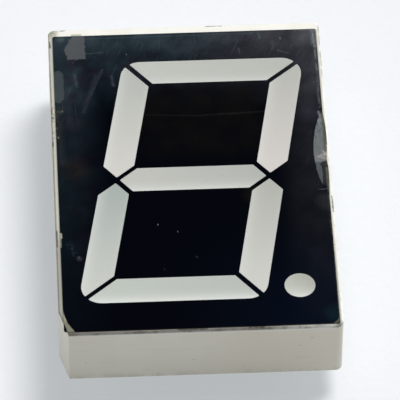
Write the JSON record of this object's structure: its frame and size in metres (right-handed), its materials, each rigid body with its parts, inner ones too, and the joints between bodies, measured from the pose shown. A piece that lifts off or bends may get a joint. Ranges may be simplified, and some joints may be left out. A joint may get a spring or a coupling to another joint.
{
  "type": "seven segment display",
  "caption": "Single-digit LED display with a slanted digit and a decimal point behind a black mask, in an ivory reflector housing with a circuit board and two rows of through-hole pins.",
  "frame": {"origin": "below the middle of the housing, at the level of the pin tips", "axes": "+Z out of the face, +Y towards the top of the digit, +X to the digit's right"},
  "size_m": [0.0478, 0.0698, 0.0176],
  "materials": {
    "housing_plastic": "satin moulded ivory plastic, grimy at the rim",
    "mask_film": "glossy black film, scuffed and lifted at one edge",
    "board_laminate": "green solder mask",
    "solder": "dull solder",
    "milky_resin": "milky grey-white cast resin",
    "tinned_pin": "tinned wire",
    "led_body": "pale resin chip body"
  },
  "bodies": {
    "root": {"reflector_housing": "housing_plastic", "face_mask": "mask_film", "circuit_board": "board_laminate", "solder_joints": "solder", "segment_a": "milky_resin", "segment_b": "milky_resin", "segment_c": "milky_resin", "segment_d": "milky_resin", "segment_e": "milky_resin", "segment_f": "milky_resin", "segment_g": "milky_resin", "decimal_point": "milky_resin", "pin_1": "tinned_pin", "pin_2": "tinned_pin", "pin_3": "tinned_pin", "pin_4": "tinned_pin", "pin_5": "tinned_pin", "pin_6": "tinned_pin", "pin_7": "tinned_pin", "pin_8": "tinned_pin", "pin_9": "tinned_pin", "pin_10": "tinned_pin", "led_a_1": "led_body", "led_a_2": "led_body", "led_a_3": "led_body", "led_a_4": "led_body", "led_b_1": "led_body", "led_b_2": "led_body", "led_b_3": "led_body", "led_b_4": "led_body", "led_c_1": "led_body", "led_c_2": "led_body", "led_c_3": "led_body", "led_c_4": "led_body", "led_d_1": "led_body", "led_d_2": "led_body", "led_d_3": "led_body", "led_d_4": "led_body", "led_e_1": "led_body", "led_e_2": "led_body", "led_e_3": "led_body", "led_e_4": "led_body", "led_f_1": "led_body", "led_f_2": "led_body", "led_f_3": "led_body", "led_f_4": "led_body", "led_g_1": "led_body", "led_g_2": "led_body", "led_g_3": "led_body", "led_g_4": "led_body", "led_point_1": "led_body", "led_point_2": "led_body"}
  },
  "joints": []
}
